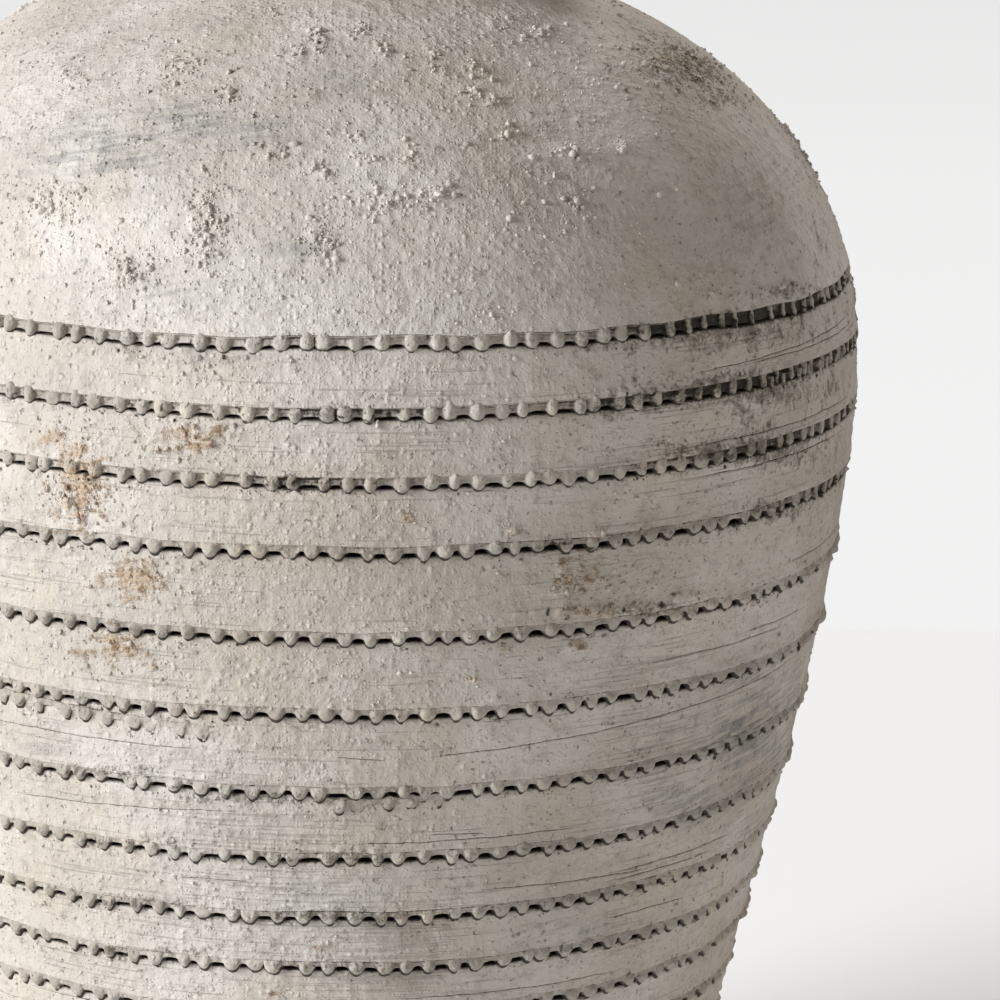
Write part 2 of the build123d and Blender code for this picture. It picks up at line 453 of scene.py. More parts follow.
# Each spot: middle x and y, half width and half height in picture pixels, and strength
body_stains = spotted(
    rust=[
        (80, 485, 36, 58, 1.0),
        (60, 440, 22, 26, 0.7),
        (190, 440, 60, 22, 0.75),
        (135, 580, 40, 28, 0.95),
        (115, 645, 46, 26, 0.75),
        (150, 665, 12, 22, 0.6),
        (515, 455, 20, 18, 0.5),
        (408, 518, 9, 18, 0.7),
        (512, 530, 10, 8, 0.8),
        (580, 575, 50, 26, 0.7),
        (590, 611, 60, 8, 0.8),
        (505, 650, 8, 9, 0.9),
        (578, 645, 18, 10, 0.8),
        (471, 680, 8, 8, 0.8),
        (318, 945, 24, 12, 0.6),
        (272, 995, 14, 8, 0.6),
        (620, 770, 36, 24, 0.35),
    ],
    soot=[
        (740, 740, 60, 46, 1.0),
        (760, 700, 40, 36, 0.8),
        (690, 800, 60, 26, 0.7),
        (560, 930, 46, 26, 0.5),
        (60, 740, 50, 22, 0.5),
        (150, 760, 70, 20, 0.4),
        (320, 420, 40, 18, 0.25),
        (230, 355, 80, 26, 0.45),
        (120, 340, 50, 20, 0.4),
        (220, 840, 70, 40, 0.35),
        (320, 910, 110, 40, 0.45),
        (230, 770, 60, 24, 0.3),
        (40, 400, 70, 34, 0.3),
        (40, 550, 70, 34, 0.3),
        (90, 620, 90, 30, 0.3),
    ],
    grime=[
        (720, 330, 130, 24, 1.0),
        (740, 390, 130, 24, 1.0),
        (740, 450, 110, 24, 1.0),
        (750, 430, 26, 46, 0.9),
        (620, 345, 60, 14, 0.8),
        (620, 405, 60, 16, 0.8),
        (560, 546, 50, 9, 0.8),
        (640, 606, 70, 9, 0.9),
        (690, 540, 60, 14, 0.6),
        (290, 482, 60, 12, 1.0),
        (330, 408, 60, 12, 0.6),
        (290, 338, 70, 12, 0.5),
        (760, 510, 60, 20, 0.8),
        (650, 610, 90, 12, 0.8),
        (630, 755, 30, 24, 0.5),
        (100, 705, 120, 10, 0.6),
        (100, 772, 120, 10, 0.75),
        (250, 797, 90, 9, 0.85),
        (120, 843, 130, 9, 0.65),
        (340, 859, 120, 9, 0.8),
        (130, 902, 140, 10, 0.65),
        (350, 916, 160, 10, 0.85),
        (120, 950, 140, 9, 0.65),
        (350, 966, 140, 9, 0.75),
    ],
    crust=[
        (130, 345, 12, 24, 1.0),
        (195, 365, 30, 14, 0.7),
        (190, 440, 40, 16, 0.8),
        (75, 490, 28, 44, 0.8),
        (290, 488, 30, 6, 0.8),
        (375, 855, 46, 10, 0.9),
        (492, 712, 12, 22, 0.8),
        (550, 795, 12, 7, 1.0),
        (610, 590, 60, 14, 0.7),
        (680, 595, 24, 12, 0.8),
        (370, 800, 60, 8, 0.6),
        (640, 392, 60, 8, 0.8),
        (720, 376, 60, 8, 0.8),
        (620, 470, 60, 8, 0.7),
        (735, 455, 50, 12, 0.9),
        (560, 545, 40, 8, 0.9),
        (600, 536, 40, 8, 0.9),
        (650, 530, 40, 8, 0.8),
        (700, 525, 50, 8, 0.8),
        (560, 612, 40, 8, 1.0),
        (605, 606, 50, 10, 1.0),
        (660, 602, 40, 8, 0.9),
        (560, 570, 12, 14, 0.7),
        (512, 530, 10, 6, 1.0),
        (533, 583, 5, 7, 1.0),
        (505, 652, 9, 8, 1.0),
        (578, 648, 14, 7, 1.0),
        (471, 680, 7, 6, 1.0),
        (755, 600, 14, 12, 0.9),
    ],
)

# Level scratches: their ends in picture pixels, and how many more each course gets
course_scratches = 4
scratch_half = 0.3
scratch_depth = 0.4
scratch_soil = 0.75
scratch_room = 1.2  # a scratch nearer than this to the edge of a course is left out
scratch_ends = [
    (676, 377, 850, 310),
    (680, 480, 840, 430),
    (0, 790, 255, 812),
    (333, 757, 390, 762),
    (405, 760, 665, 715),
    (490, 640, 790, 600),
    (635, 665, 790, 620),
    (600, 730, 800, 650),
    (425, 835, 490, 833),
    (470, 890, 660, 865),
    (600, 875, 735, 830),
    (600, 920, 690, 895),
]
search_turn, search_height = np.meshgrid(
    np.linspace(-math.pi, 0.2, 1600), np.linspace(80, 420, 1000), indexing="ij"
)
search_points = round_jar(outer_radius(search_height), search_turn, search_height)
search_x, search_y, search_seen = picture_place(search_points)


def wall_place(x, y):
    """The angle round the jar and the height that show at a place in the picture."""
    miss = (search_x - x) ** 2 + (search_y - y) ** 2 + np.where(search_seen > 0, 0, 1e6)
    best = np.unravel_index(np.argmin(miss), miss.shape)
    return search_turn[best], search_height[best]


scratches = []
for start_x, start_y, end_x, end_y in scratch_ends:
    scratches.append((*wall_place(start_x, start_y), *wall_place(end_x, end_y)))
scratch_draw = np.random.default_rng(61)
for joint in joints[:-1]:
    for extra in range(course_scratches):
        start = scratch_draw.uniform(0, 2 * math.pi)
        reach = scratch_draw.uniform(0.15, 0.9)
        start_height = joint + scratch_draw.uniform(5, 15)
        drift = scratch_draw.normal(0, 0.5)
        scratches.append((start, start_height, start + reach, start_height + drift))


def scratch_line(scratch):
    """Height of a scratch in each column of the wall, and how deep it is there, from 0 to 1."""
    start, start_height, end, end_height = scratch
    along = ((turn - start + math.pi) % (2 * math.pi) - math.pi) / (end - start)
    height = start_height + (end_height - start_height) * np.clip(along, 0, 1)
    depth = np.clip(np.minimum(along, 1 - along) * 6, 0, 1)
    return height + 0.12 * np.sin(turn * 37) + 0.08 * np.sin(turn * 91 + start), depth


wave_height = 0.15  # how far a joint strays in each of its waves
front_rise = 1.5  # the top joint strays up by this much at the front
front_rise_turn = 4.88
front_rise_narrowing = 1.6  # how many times narrower than a half turn that is


def joint_wave(number, angle):
    """How far the joint strays up and down round the jar."""
    draw = np.random.default_rng(100 + number)
    wave = 0
    for count in (2, 3, 5, 9, 17, 31):
        wave = wave + draw.normal(0, wave_height) * np.cos(count * angle + draw.uniform(0, 6.28))
    if number == len(joints) - 1:
        beside = (angle - front_rise_turn + math.pi) % (2 * math.pi) - math.pi
        wave = wave + front_rise * np.cos(np.clip(beside * front_rise_narrowing, -1.57, 1.57)) ** 2
    return wave


def soil_share(number, angle):
    """How far soil fills the cells of a band, from 0 to 1."""
    if number not in soil_turns:
        return np.zeros(angle.shape)
    beyond = (angle - soil_turns[number]) % (2 * math.pi)
    return np.clip(beyond / soil_fade, 0, 1) * np.clip((soil_reach - beyond) / soil_fade, 0, 1)


def inside_rows(low, high):
    """The inside of the wall, from height high down to height low, with the marks of fingers."""
    levels = np.linspace(high, low, max(3, round((high - low) / 6)))
    points, marks = plain_rows([(inner_radius(level), level) for level in levels], soil_and_shade=0.3)
    inward = points.copy()
    inward[..., 2] = 0
    inward /= np.linalg.norm(inward, axis=-1, keepdims=True)
    fingers = 0.4 * clay_noise(points * (1, 1, 3), 26, 51)
    fingers[[0, -1]] = 0
    return points - inward * fingers[..., None], marks


def course_section(low, high, low_edge, high_edge, row_pitch, stains, lipped, ledged):
    """A belt of wall from the joint at height low to the one at height high.

    low_edge and high_edge are the heights of its outer edges in each column, lipped says that it
    overhangs a band, and ledged that a band lies on its top edge."""
    length = float(np.mean(high_edge - low_edge))
    near = np.array([0.0, 0.2, 0.5, 0.9, 1.5]) / length
    middle = np.linspace(2.3, length - 2.0, max(3, round((length - 4.3) / row_pitch))) / length
    share = np.concatenate((near, middle, 1 - np.array([1.3, 0.8, 0.4, 0.15, 0.0]) / length))
    height = low_edge + share[:, None] * (high_edge - low_edge)
    cuts = []
    for scratch in scratches:
        line, depth = scratch_line(scratch)
        if np.all(line > low_edge + scratch_room) and np.all(line < high_edge - scratch_room):
            cuts.append((line, depth))
            height = np.concatenate((height, [line - scratch_half, line, line + scratch_half]))
    height = np.sort(height, axis=0)
    over = height - low_edge
    under = high_edge - height
    proud = np.zeros(height.shape)
    soil_and_shade = np.zeros(height.shape)
    if lipped:
        proud = proud + course_lip * np.exp(-over / 3.5) - 0.12 * np.exp(-over / 0.25)
        # A thin dark line at the lip's foot, where it meets the band: painted shade in the crease
        soil_and_shade = soil_and_shade + 0.12 * np.exp(-over / 0.3)
    if ledged:
        proud = proud - 0.7 * np.exp(-under / 0.6)
        # Darkening on the top edge under the band, wider and darker towards the right, away from the light:
        # painted shade under the band's lip, with some soil
        soil_and_shade = soil_and_shade + 0.7 * np.exp(-under / 0.5) + (0.2 + 0.12 * np.cos(turn)) * np.exp(-under / 2.2)
    for line, depth in cuts:
        across = depth * np.clip(1 - np.abs(height - line) / scratch_half, 0, 1)
        proud = proud - scratch_depth * across
        soil_and_shade = soil_and_shade + scratch_soil * across
    points, marks = weathered(outer_radius(height), height, proud, stains)
    marks["soil_and_shade"] = np.clip(marks["soil_and_shade"] + soil_and_shade, 0, 1)
    tongue = seam_radius(high)
    skirt = seam_radius(low) + slip
    # The joint's hidden faces, seen only in the cracks beside the bands, are darkened evenly: painted shade
    # in the cracks, with soil
    top = plain_rows([(tongue, high_edge), (tongue, high + lap)], soil_and_shade=0.7)
    bottom = plain_rows([(skirt, low + lap), (skirt, low_edge)], soil_and_shade=0.7)
    return stacked((points, marks), top, inside_rows(low + lap, high + lap), bottom)


def place_course(node, low, high, low_edge, high_edge, row_pitch, stains, lipped, ledged, lime=wall_lime):
    points, marks = course_section(low, high, low_edge, high_edge, row_pitch, stains, lipped, ledged)
    faces = ring_faces(len(points), columns, closed=True)
    place_piece(f"worn_{node}", node, lime, points, faces, marks)


level_edge = np.zeros(columns)
course_rows = 1.0  # distance between rows of points
foot_rows = 1.5
edges = [joint + joint_wave(number, turn) for number, joint in enumerate(joints)]
place_course(
    "foot_course",
    base_thickness,
    joints[0],
    level_edge + base_thickness,
    edges[0] - groove / 2 + edge_rise,
    foot_rows,
    body_stains,
    lipped=False,
    ledged=True,
)
for number in range(1, band_count):
    ledge_rise = top_edge_rise if number >= first_top_band else edge_rise
    place_course(
        f"body_course_{number:02d}",
        joints[number - 1],
        joints[number],
        edges[number - 1] + groove / 2,
        edges[number] - groove / 2 + ledge_rise * (1 - soil_share(number, turn)),
        course_rows,
        body_stains,
        lipped=True,
        ledged=True,
    )

# Bead bands: strips of softer clay pressed into the groove over each joint and pinched into beads.
# On the top bands the strip is sunk between the beads into small cells. On the others it is
# smoothed into the course above and the beads hang from its lip. The crack under it is darkened
# with soil and painted shade, and the beads' lower edges and right flanks with painted shade.
bead_pitch = 9.1
bead_lime = limewash("bead_limewash", colour(196, 188, 178), colour(168, 160, 149), wiping=0.0)
strip_root = -4.5  # how deep a strip sits in the groove
worn_share = 0.04  # share of the beads that are worn off
worn_crest = 0.3
# Sections of a strip, between two beads and over the middle of one, from its top down: the height
# over the joint, and how far it stands out of the courses' surface
sunk_cell = np.array(
    [
        [2.45, 2.45, 2.20, 1.95, 1.75, 1.40, 0.90, 0.30, -0.30, -0.75, -1.05, -1.15, -1.15],
        [strip_root, 0.60, 0.50, 0.00, -0.55, -0.85, -0.70, -0.95, -0.65, -0.70, -0.80, -1.60, strip_root],
    ]
)
smoothed_cell = np.array(
    [
        [2.45, 2.45, 2.25, 2.00, 1.70, 1.40, 1.05, 0.70, 0.35, 0.05, -0.15, -0.25, -0.25],
        [strip_root, 0.55, 0.60, 0.52, 0.45, 0.42, 0.45, 0.50, 0.52, 0.45, 0.10, -1.20, strip_root],
    ]
)
soiled_cell = np.array(
    [
        [2.45, 2.45, 2.30, 2.10, 1.80, 1.30, 0.70, 0.00, -0.80, -1.40, -1.90, -2.20, -2.20],
        [strip_root, 0.30, -0.20, -0.80, -1.10, -1.20, -1.10, -1.20, -1.10, -1.20, -1.30, -1.70, strip_root],
    ]
)
ball_bead = np.array(
    [
        [2.45, 3.45, 3.10, 2.50, 1.75, 0.95, 0.10, -0.80, -1.60, -2.25, -2.70, -3.20, -1.15],
        [strip_root, 0.40, 0.95, 1.35, 1.60, 1.72, 1.75, 1.65, 1.40, 1.00, 0.45, 0.05, strip_root],
    ]
)
hung_bead = np.array(
    [
        [2.45, 2.60, 2.30, 1.85, 1.30, 0.65, -0.05, -0.85, -1.65, -2.35, -2.80, -3.80, -1.00],
        [strip_root, 0.50, 0.85, 1.20, 1.55, 1.95, 2.25, 2.30, 2.00, 1.40, 0.70, 0.10, strip_root],
    ]
)
thin_bead = np.array(
    [
        [2.45, 3.00, 2.55, 2.00, 1.40, 0.70, 0.00, -0.70, -1.30, -1.90, -2.50, -2.90, -2.20],
        [strip_root, 0.30, 0.65, 0.75, 0.80, 0.80, 0.80, 0.75, 0.65, 0.50, 0.25, -0.30, strip_root],
    ]
)
# For the same rows: how much of its half width a bead fills, and how dark cells and beads are made
# by soil and by painted shade under the lips, in the cracks and under the beads
bead_outline = np.array([0.4, 0.5, 0.7, 0.86, 0.96, 1.0, 1.0, 1.0, 0.98, 0.9, 0.88, 1.06, 0.4])
sunk_soil_and_shade = np.array([0.5, 0.05, 0.25, 0.6, 0.6, 0.45, 0.25, 0.3, 0.2, 0.25, 0.75, 1.0, 1.0])
smoothed_soil_and_shade = np.array([0.5, 0.5, 0.42, 0.2, 0.08, 0.0, 0.0, 0.0, 0.0, 0.05, 0.6, 1.0, 1.0])
soiled_soil_and_shade = np.array([0.5, 0.3, 0.6, 0.8, 0.85, 0.8, 0.65, 0.75, 0.6, 0.75, 0.85, 1.0, 1.0])
bead_soil_and_shade = np.array([0.5, 0.05, 0.0, 0.0, 0.0, 0.0, 0.0, 0.0, 0.05, 0.2, 0.75, 1.0, 1.0])
across_bead = np.array([-1.0, -0.85, -0.65, -0.4, -0.14, 0.14, 0.4, 0.65, 0.85, 1.0])
across_cell = np.array([0.2, 0.4, 0.6, 0.8])
bead_columns = len(across_bead) + len(across_cell)
scallop_rise = 0.7  # how far the lip arches up between two beads
crack_rows = 3  # lowest rows, in the crack under the strip, which are darkened all round the jar with soil and painted shade
smoothed_below = 11.4  # well below this joint the strips are smoothed, and above it sunk
smoothing_fade = 1.6


def smoothing(number):
    """How far the strip at a joint is smoothed into the course above, from 0 to 1."""
    return float(np.clip((smoothed_below - number) / smoothing_fade, 0, 1))


def bead_strip(number, middle, path, closed, fading):
    """Rows of points and marks of a strip with beads at the middle angles, along a path of heights.

    closed says that it goes right round the jar, and fading that it thins out to its end."""
    draw = np.random.default_rng(200 + number)
    count = len(middle)
    radius = float(outer_radius(joints[number]))
    middle = middle + draw.normal(0, 0.13, count).clip(-0.22, 0.22) * bead_pitch / radius
    filled = soil_share(number, middle)
    half = draw.uniform(2.1, 3.2, count) / radius * (1 - 0.62 * filled)
    crest = draw.uniform(0.55, 1.15, count) * np.where(draw.random(count) < worn_share, worn_crest, 1.0)
    lift = draw.normal(0, 0.4, count)
    lean = draw.normal(0, 0.25, count)
    last = middle[:1] + (2 * math.pi if closed else middle[-1] - middle[0] + bead_pitch / radius)
    next_middle = np.concatenate((middle[1:], last))
    cell_start = (middle + half)[:, None]
    cell_end = (next_middle - np.roll(half, -1))[:, None]
    bead_angle = middle[:, None] + half[:, None] * across_bead
    cell_angle = cell_start + (cell_end - cell_start) * across_cell
    angle = np.concatenate((bead_angle, cell_angle), axis=1).ravel()
    side = np.concatenate((across_bead, np.ones(len(across_cell))))
    in_bead = np.tile(np.arange(bead_columns) < len(across_bead), count)
    soiled = np.repeat(filled, bead_columns)
    outline = bead_outline[:, None] + soiled * (1 - bead_outline[:, None])
    rise = np.sqrt(np.clip(1 - (np.tile(side, count) / outline) ** 2, 0, 1)) * in_bead
    shaded_flank = np.tile(np.where(np.abs(side) < 1, np.clip(side, 0, 1) ** 3, 0), count)
    swell = np.repeat(crest, bead_columns) * (1 + np.repeat(lean, bead_columns) * np.tile(side, count))
    shift = np.repeat(lift, bead_columns)
    arch = np.concatenate((np.zeros(len(across_bead)), np.sin(np.pi * across_cell)))
    arch = np.tile(arch, count) * np.repeat(draw.uniform(0.5, 1.2, count), bead_columns)
    smooth = smoothing(number) * (1 - soiled)
    sunk = 1 - soiled - smooth

    def blend(first, second, third):
        """What each column has of the sunk, the smoothed and the soiled kind of strip."""
        return first[:, None] * sunk + second[:, None] * smooth + third[:, None] * soiled

    cell_z = blend(sunk_cell[0], smoothed_cell[0], soiled_cell[0])
    cell_stand = blend(sunk_cell[1], smoothed_cell[1], soiled_cell[1])
    bead_z = blend(ball_bead[0], hung_bead[0], thin_bead[0])
    bead_stand = blend(ball_bead[1], hung_bead[1], thin_bead[1])
    lower_rows = np.linspace(0, 1, len(cell_z))[:, None] ** 2
    z = cell_z + rise * (bead_z - cell_z)
    z = z + (1 - 0.7 * soiled) * (
        shift * rise * 0.8 + scallop_rise * (0.5 + 0.5 * smooth) * arch * lower_rows
    )
    proud_bead = swell * np.maximum(bead_stand, 0) + np.minimum(bead_stand, 0)
    stand = cell_stand + rise * (proud_bead - cell_stand)
    if fading:
        thin = np.linspace(1.0, 0.35, len(angle))
        stand = np.where(stand > 0, (stand + 0.3 * (1 - rise)) * thin, stand)
        stand[:, [0, -1]] = strip_root
    height = path(angle) + z
    surface = outer_radius(height)
    points = round_jar(surface, angle, height)
    marks = body_stains(points)
    lumps = 0.46 * clay_noise(points, 1.5, 71) + 0.5 * marks["crust"] * clay_noise(points, 2.6, 72)
    stand = stand + np.where(stand > strip_root + 0.5, hand_relief(points) + lumps, 0)
    points = round_jar(surface + stand, angle, height)
    soil = np.clip(0.5 + 0.9 * clay_noise(points * (1, 1, 0), 60, 73 + number), 0, 1)
    uneven = np.clip(0.75 + 0.6 * clay_noise(points, 2.2, 76) + 0.3 * clay_noise(points, 7, 77), 0.3, 1.1)
    # Painted shade: the cells are darker on the side of the jar away from the light and lighter towards it
    shade = np.clip(0.85 + 0.8 * np.cos(angle), 0.4, 1.1)
    cell_soil_and_shade = blend(sunk_soil_and_shade, smoothed_soil_and_shade, soiled_soil_and_shade) * (1 + soiled * (uneven - 1))
    cell_soil_and_shade[:-crack_rows] *= shade
    soil_and_shade = cell_soil_and_shade * (1 - rise) * (0.6 + 0.5 * soil) + rise * bead_soil_and_shade[:, None]
    # Painted shade on each bead's right flank, towards its lower edge, away from the light
    soil_and_shade = soil_and_shade + 0.6 * shaded_flank * (0.4 + soil) * lower_rows**0.5
    specks = np.clip(clay_noise(points, 1.3, 74) + 0.4 * clay_noise(points, 30, 75) - 0.35, 0, 1)
    soil_and_shade = soil_and_shade + (1.2 - 0.6 * smooth) * specks * (0.4 + soil)
    hollow = (1 - rise) * np.clip(cell_soil_and_shade * 3, 0, 1)
    marks["soil_and_shade"] = np.clip(soil_and_shade + 0.7 * hollow * marks["grime"], 0, 1)
    return points[::-1], {name: depth[::-1] for name, depth in marks.items()}


# Ends of strips that run on below their band and fade out on the course, as first and last place
# of the beads in the picture: the band's number, and the two places
strip_ends = [
    (8, (4, 694), (214, 733)),
    (7, (338, 806), (440, 800)),
    (12, (772, 384), (845, 352)),
]
for number, joint in enumerate(joints):
    round_count = round(2 * math.pi * float(outer_radius(joint)) / bead_pitch)
    round_middle = np.arange(round_count) * (2 * math.pi / round_count)
    strip_points, strip_marks = bead_strip(
        number,
        round_middle,
        lambda angle: joint + joint_wave(number, angle),
        closed=True,
        fading=False,
    )
    strip_faces = ring_faces(*strip_points.shape[:2], closed=True).tolist()
    strip_points = strip_points.reshape(-1, 3)
    strip_marks = {name: depth.ravel() for name, depth in strip_marks.items()}
    for end_number, first, last in strip_ends:
        if end_number != number:
            continue
        first_turn, first_height = wall_place(*first)
        last_turn, last_height = wall_place(*last)
        bead_turn = bead_pitch / float(outer_radius(joint))
        end_middle = np.arange(first_turn, last_turn, bead_turn)
        end_points, end_marks = bead_strip(
            number,
            end_middle,
            lambda angle: np.interp(angle, [first_turn, last_turn], [first_height, last_height]),
            closed=False,
            fading=True,
        )
        rows, along = end_points.shape[:2]
        end_faces = ring_faces(rows, along, closed=True)
        end_faces = end_faces[end_faces[:, 0] % along != along - 1].tolist()
        end_faces.append([row * along for row in range(rows)])
        end_faces.append([row * along + along - 1 for row in range(rows)][::-1])
        start = len(strip_points)
        strip_faces += [[corner + start for corner in face] for face in end_faces]
        strip_points = np.concatenate((strip_points, end_points.reshape(-1, 3)))
        for name, depth in end_marks.items():
            strip_marks[name] = np.concatenate((strip_marks[name], depth.ravel()))
    node = band_nodes[number]
    place_piece(f"pressed_{node}", node, bead_lime, strip_points, strip_faces, strip_marks)

# Shoulder: three belts of wall closing to the neck, smoothed together outside until their joints
# don't show. Sand and crumbs of clay stick in the lime here, and it is smeared with soot.
shoulder_stains = spotted(
    rust=[
        (690, 60, 70, 20, 0.5),
        (715, 100, 40, 12, 0.5),
        (490, 315, 26, 12, 0.35),
    ],
    soot=[
        (110, 150, 80, 40, 0.8),
        (180, 125, 60, 26, 0.8),
        (240, 130, 60, 16, 0.6),
        (90, 60, 60, 40, 0.15),
        (230, 30, 60, 24, 0.2),
        (290, 250, 36, 14, 0.6),
        (330, 80, 50, 26, 0.4),
        (190, 285, 130, 28, 0.35),
        (760, 200, 46, 60, 0.4),
    ],
    grime=[
        (680, 75, 70, 24, 0.6),
        (640, 40, 80, 50, 0.5),
        (650, 330, 50, 9, 0.9),
        (720, 316, 50, 10, 0.9),
        (790, 292, 40, 12, 0.9),
        (560, 160, 120, 130, 0.3),
        (820, 240, 30, 60, 0.5),
    ],
    crust=[
        (316, 38, 9, 16, 1.0),
        (298, 52, 10, 8, 0.9),
        (272, 13, 14, 6, 0.8),
        (360, 29, 12, 8, 0.9),
        (384, 48, 10, 9, 1.0),
        (434, 52, 9, 8, 0.9),
        (440, 69, 9, 6, 0.9),
        (471, 92, 10, 7, 1.0),
        (496, 102, 14, 7, 0.7),
        (478, 70, 16, 10, 0.7),
        (503, 25, 12, 6, 0.8),
        (540, 35, 24, 7, 0.7),
        (275, 155, 16, 9, 0.8),
        (320, 170, 12, 10, 0.8),
        (354, 138, 10, 7, 0.7),
        (368, 158, 16, 7, 0.8),
        (408, 156, 8, 14, 0.8),
        (622, 147, 8, 5, 0.9),
        (180, 68, 26, 14, 0.7),
        (225, 98, 14, 10, 0.8),
        (205, 225, 20, 44, 0.9),
        (130, 270, 28, 22, 0.9),
        (60, 205, 30, 22, 0.7),
        (75, 75, 16, 16, 0.7),
        (320, 240, 20, 30, 0.7),
        (400, 200, 40, 16, 0.65),
        (440, 190, 22, 14, 0.5),
        (580, 205, 12, 24, 0.7),
        (514, 134, 18, 8, 0.8),
        (572, 152, 26, 8, 0.7),
        (700, 70, 60, 20, 0.7),
        (640, 332, 40, 6, 0.6),
        (725, 296, 30, 6, 0.6),
        (790, 290, 40, 8, 0.8),
    ],
)
# Paler than the wall's lime, as painted light on the shoulder, and less wiped
lit_shoulder_lime = limewash("brushed_lit_limewash", colour(221, 214, 207), colour(200, 192, 182), wiping=0.12)
shoulder_joints = [joints[-1]]
for node in ("middle_shoulder", "upper_shoulder"):
    shoulder_joints.append(node_heights(node)[0])
shoulder_joints.append(neck_root)
shoulder_rows = (0.9, 0.7, 0.56)  # distance between rows of points, in each belt
for order, node in enumerate(("lower_shoulder", "middle_shoulder", "upper_shoulder")):
    low, high = shoulder_joints[order : order + 2]
    low_edge = edges[-1] + groove / 2 if order == 0 else level_edge + low
    place_course(
        node,
        low,
        high,
        low_edge,
        level_edge + high,
        shoulder_rows[order],
        shoulder_stains,
        lipped=order == 0,
        ledged=False,
        lime=lit_shoulder_lime,
    )

# Neck: a collar of clay luted on the shoulder, drawn in a little at its foot and at its middle.
# It is limewashed with the wall.
neck_waist = 4.0
neck_draw = 1.6  # how far the neck's foot is drawn in from the shoulder's edge
neck_draw_height = 6.0
neck_heights = np.linspace(neck_root - 0.5, neck_top, 44)[:, None]
neck_share = np.clip((neck_heights - neck_root) / (neck_top - neck_root), 0, 1)
neck_profile = neck_radius - neck_waist * 4 * neck_share * (1 - neck_share)
neck_profile = neck_profile - neck_draw * np.exp(-(neck_heights - neck_root) / neck_draw_height)
neck_outside = weathered(neck_profile, neck_heights)
neck_seam = (neck_radius + mouth_radius) / 2
neck_top_rows = plain_rows([(neck_seam, neck_top), (neck_seam, neck_top + lap)], soil_and_shade=0.6)
neck_inside = inside_rows(neck_root + lap, neck_top + lap)
neck_bottom = plain_rows([(neck_seam + slip, neck_root + lap), (neck_seam + slip, neck_root)], soil_and_shade=0.6)
neck_points, neck_marks = stacked(neck_outside, neck_top_rows, neck_inside, neck_bottom)
neck_faces = ring_faces(len(neck_points), columns, closed=True)
place_piece("worn_neck", "neck", lit_shoulder_lime, neck_points, neck_faces, neck_marks)

# Rim: a thick coil rolled over the top of the neck and wiped round, with worn edges. It is of the
# wall's clay, seated on the neck's tongue, and limewashed with it.
rim_radius = 97.0
rim_round = 7.0
mouth_round = 4.0
mouth_step = 3.0  # how far above the neck's tongue the worn face of the mouth ends
rim_tuck = 1.0  # how far in from the neck's outside the coil's underside starts
rim_middle = rim_radius - rim_round
mouth_middle = mouth_radius + mouth_round


def rolled_edge(radius, height, bend, start, end, count):
    """Radii and heights along an edge bent about a middle, from one angle to another in degrees."""
    swings = [math.radians(angle) for angle in np.linspace(start, end, count)]
    return [(radius + bend * math.cos(swing), height + bend * math.sin(swing)) for swing in swings]


rim_path = rolled_edge(rim_middle, neck_top + rim_round, rim_round, -90, 0, 12)
rim_path += rolled_edge(rim_middle, rim_top - rim_round, rim_round, 0, 90, 12)
for share in np.linspace(0, 1, 20)[1:-1]:
    rim_path.append((rim_middle + share * (mouth_middle - rim_middle), rim_top))
rim_path += rolled_edge(mouth_middle, rim_top - mouth_round, mouth_round, 90, 180, 8)
rim_path.append((mouth_radius, neck_top + lap + mouth_step))
rim_path = np.array(rim_path)
rim_outside = weathered(rim_path[:, :1], rim_path[:, 1:])
rim_under = plain_rows(
    [
        (mouth_radius, neck_top + lap),
        (neck_seam + slip, neck_top + lap),
        (neck_seam + slip, neck_top),
        (neck_radius - rim_tuck, neck_top),
    ],
    soil_and_shade=0.5,
)
rim_points, rim_marks = stacked(rim_outside, rim_under)
rim_faces = ring_faces(len(rim_points), columns, closed=True)
place_piece("worn_rim", "rim", lit_shoulder_lime, rim_points, rim_faces, rim_marks)

# Sand crust: crumbs of dried clay and coarse sand that stick in the lime, thick in the crusted
# patches and thin elsewhere. Each is a broken lump, half sunk in the wall.
crust_tries = 25  # places tried for each lump
soil_beside = 3.8  # how far from a joint most soil lies
soil_spread = 1.2
band_room = 2.6  # nearer to a joint than this no lump lies


def round_lump(divisions):
    """Points and faces of a ball that the lumps are broken from."""
    form = bmesh.new()
    bmesh.ops.create_icosphere(form, subdivisions=divisions, radius=1.0)
    form.verts.ensure_lookup_table()
    ball = np.array([tuple(vertex.co) for vertex in form.verts])
    faces = np.array([[vertex.index for vertex in face.verts] for face in form.faces])
    form.free()
    return ball, faces


